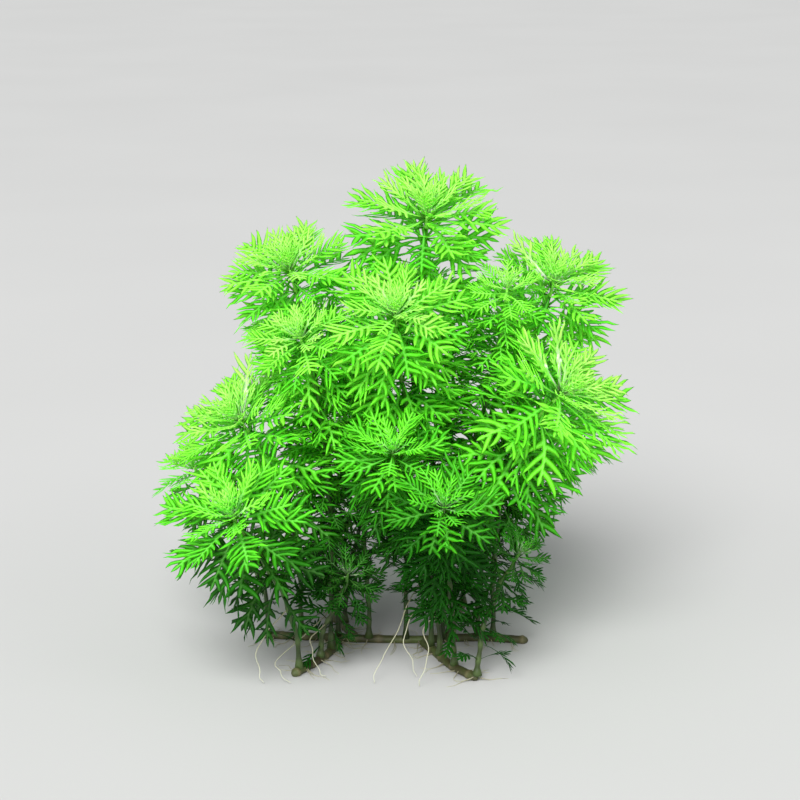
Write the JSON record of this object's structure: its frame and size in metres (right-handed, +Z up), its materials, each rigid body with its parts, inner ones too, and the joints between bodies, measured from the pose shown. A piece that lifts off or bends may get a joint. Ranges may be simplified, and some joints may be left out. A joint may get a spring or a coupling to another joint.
{
  "type": "water violet plant",
  "caption": "Bushy clump of submerged water violet: upright stems with whorls of comb-like bright green leaves, thin water roots and creeping base stems.",
  "frame": {"origin": "on the ground, on the cut underside of the main creeping stem, in the middle of the clump", "axes": "+Z up, -Y towards the side seen in the picture, +X to the right as seen from there"},
  "size_m": [0.2417, 0.2326, 0.2399],
  "materials": {
    "leaf": "living leaf, bright yellow-green, soft sheen",
    "stem": "living stem, olive green, soft sheen",
    "runner": "creeping stem, brown-green, dull",
    "root": "pale water root, slightly clear"
  },
  "bodies": {
    "root": {"crown_back": "leaf", "crown_back_left": "leaf", "crown_back_low": "leaf", "crown_back_right": "leaf", "crown_front": "leaf", "crown_front_left": "leaf", "crown_front_low": "leaf", "crown_inner": "leaf", "crown_left": "leaf", "crown_left_low": "leaf", "crown_left_middle": "leaf", "crown_low_middle": "leaf", "crown_low_right": "leaf", "crown_middle": "leaf", "crown_right": "leaf", "crown_right_back": "leaf", "crown_top": "leaf", "crown_upper_inner": "leaf", "crown_upper_left": "leaf", "crown_upper_right": "leaf", "root_back": "root", "root_left": "root", "root_left_inner": "root", "root_middle": "root", "root_middle_left": "root", "root_middle_right": "root", "root_right": "root", "runner_back_left": "runner", "runner_back_right": "runner", "runner_front_left": "runner", "runner_front_right": "runner", "runner_main": "runner", "stem_back": "stem", "stem_back_left": "stem", "stem_back_low": "stem", "stem_back_right": "stem", "stem_front": "stem", "stem_front_left": "stem", "stem_front_low": "stem", "stem_inner": "stem", "stem_left": "stem", "stem_left_low": "stem", "stem_left_middle": "stem", "stem_low_middle": "stem", "stem_low_right": "stem", "stem_middle": "stem", "stem_right": "stem", "stem_right_back": "stem", "stem_top": "stem", "stem_upper_inner": "stem", "stem_upper_left": "stem", "stem_upper_right": "stem"}
  },
  "joints": []
}
